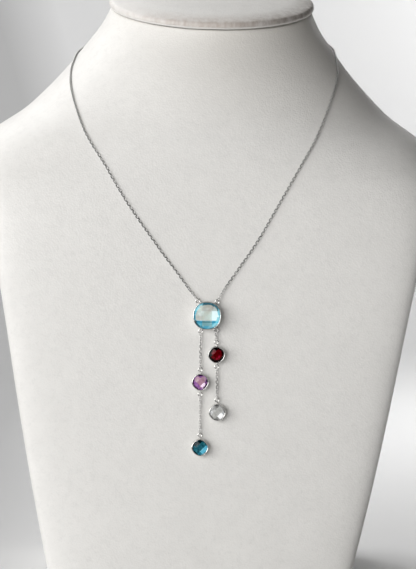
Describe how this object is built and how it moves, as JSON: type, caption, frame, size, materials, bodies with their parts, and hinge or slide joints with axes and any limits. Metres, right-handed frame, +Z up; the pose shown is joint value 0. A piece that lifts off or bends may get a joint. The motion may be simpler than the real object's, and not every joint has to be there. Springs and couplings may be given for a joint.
{
  "type": "gemstone drop necklace on a neck bust",
  "caption": "Fine silver cable chain necklace with a pale blue cushion stone and two strands of small bezel-set stones, on a plain white leatherette neck bust.",
  "frame": {"origin": "on the bust's flat base, under the middle of the neck, on the surface that it stands on", "axes": "+Z up, the front of the bust faces -Y, +X to the viewer's right"},
  "size_m": [0.1883, 0.0948, 0.2439],
  "materials": {
    "leatherette": "matt white leatherette with a fine grain",
    "silver": "polished silver",
    "topaz": "clear pale blue cut stone",
    "amethyst": "clear purple cut stone",
    "deep_teal": "clear deep teal cut stone",
    "garnet": "clear dark red cut stone",
    "clear_stone": "colourless cut stone"
  },
  "bodies": {
    "root": {"bust_body": "leatherette", "neck_cap": "leatherette", "neck_chain_left": "silver", "neck_chain_right": "silver", "clasp": "silver", "topaz_setting": "silver", "topaz_stone": "topaz", "amethyst_setting": "silver", "amethyst_stone": "amethyst", "teal_setting": "silver", "teal_stone": "deep_teal", "garnet_setting": "silver", "garnet_stone": "garnet", "clear_setting": "silver", "clear_stone": "clear_stone", "drop_chain_left_upper": "silver", "drop_chain_left_lower": "silver", "drop_chain_right_upper": "silver", "drop_chain_right_lower": "silver"}
  },
  "joints": []
}
